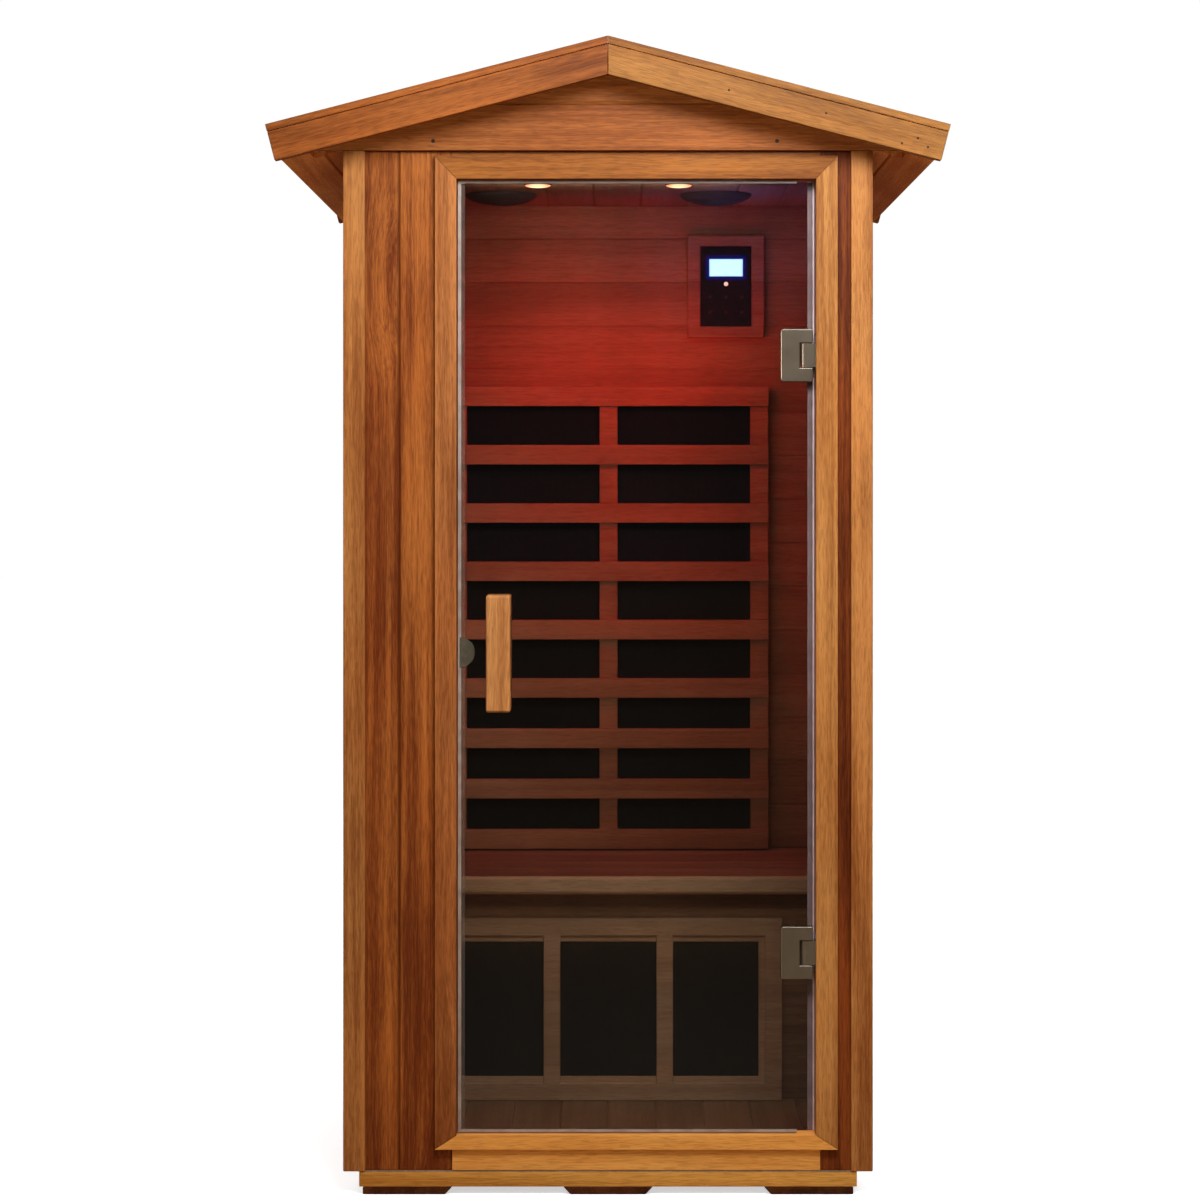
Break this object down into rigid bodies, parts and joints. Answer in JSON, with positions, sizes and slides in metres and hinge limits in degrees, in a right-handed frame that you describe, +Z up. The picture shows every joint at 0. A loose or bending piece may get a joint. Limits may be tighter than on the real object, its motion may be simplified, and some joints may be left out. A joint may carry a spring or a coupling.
{
  "type": "infrared sauna cabin",
  "caption": "Outdoor infrared sauna cabin for one person: boarded timber walls, low gable roof, tinted glass door on glass hinges, bench, and carbon heaters behind timber guards.",
  "frame": {"origin": "on the ground under the middle of the cabin", "axes": "+Z up, the door faces -Y, +X to the right of someone who looks at the door"},
  "size_m": [1.144, 1.064, 1.9553],
  "materials": {
    "post_timber": "planed red-brown softwood, clear oiled",
    "wall_timber": "planed tongue-and-groove boards, red-brown, clear oiled",
    "roof_timber": "planed boards, orange-brown, clear oiled",
    "inside_timber": "planed red cedar, untreated",
    "skid_timber": "sawn, dark stained",
    "handle_timber": "sanded, oiled",
    "carbon": "matt black carbon heating sheet",
    "black_plastic": "satin black touch panel",
    "speaker_plastic": "matt dark moulding with a grille",
    "lit_screen": "lit display window",
    "grey_plastic": "matt moulding",
    "tinted_glass": "bronze-tinted toughened glass, polished edges",
    "pale_seal": "pale translucent push-on strip",
    "nickel": "brushed nickel plate",
    "catch_plastic": "matt dark moulding"
  },
  "bodies": {
    "cabin": {"skid_left": "skid_timber", "skid_middle": "skid_timber", "skid_right": "skid_timber", "floor_base": "post_timber", "corner_post_front_left": "post_timber", "corner_post_front_right": "post_timber", "corner_post_rear_left": "post_timber", "corner_post_rear_right": "post_timber", "base_board": "post_timber", "door_jamb_left": "post_timber", "door_jamb_right": "post_timber", "door_head": "post_timber", "door_sill": "post_timber", "left_cladding": "wall_timber", "right_cladding": "wall_timber", "back_cladding": "wall_timber", "front_left_cladding": "wall_timber", "front_right_panel": "wall_timber", "left_lining": "inside_timber", "right_lining": "inside_timber", "back_lining": "inside_timber", "front_left_lining": "inside_timber", "ceiling_boards": "inside_timber", "bench_seat": "inside_timber", "bench_front_panel": "inside_timber", "back_heater_guard": "inside_timber", "bench_heater_frame": "inside_timber", "control_surround": "inside_timber", "roof_panel_left": "roof_timber", "roof_panel_right": "roof_timber", "barge_front_left": "roof_timber", "barge_front_right": "roof_timber", "barge_rear_left": "roof_timber", "barge_rear_right": "roof_timber", "gable_front": "roof_timber", "gable_rear": "roof_timber", "back_heater_element": "carbon", "bench_heater_element": "carbon", "control_panel": "black_plastic", "speaker_left": "speaker_plastic", "speaker_right": "speaker_plastic", "display_window": "lit_screen", "power_box": "grey_plastic", "hinge_side_seal": "pale_seal", "ceiling_light_left": "nickel", "ceiling_light_right": "nickel", "upper_hinge_bracket": "nickel", "upper_hinge_pin": "nickel", "lower_hinge_bracket": "nickel", "lower_hinge_pin": "nickel", "magnetic_catch": "catch_plastic"},
    "door": {"door_glass": "tinted_glass", "handle_outer": "handle_timber", "handle_inner": "handle_timber", "strike_plate": "nickel", "door_edge_seal": "pale_seal", "upper_hinge_outer_plate": "nickel", "upper_hinge_inner_plate": "nickel", "lower_hinge_outer_plate": "nickel", "lower_hinge_inner_plate": "nickel"}
  },
  "joints": [
    {"name": "door_swing", "type": "hinge", "parent": "cabin", "child": "door", "pos_m": [0.3365, -0.428, 0.9], "axis": [0, 0, 1], "range_deg": [0, 90]}
  ]
}
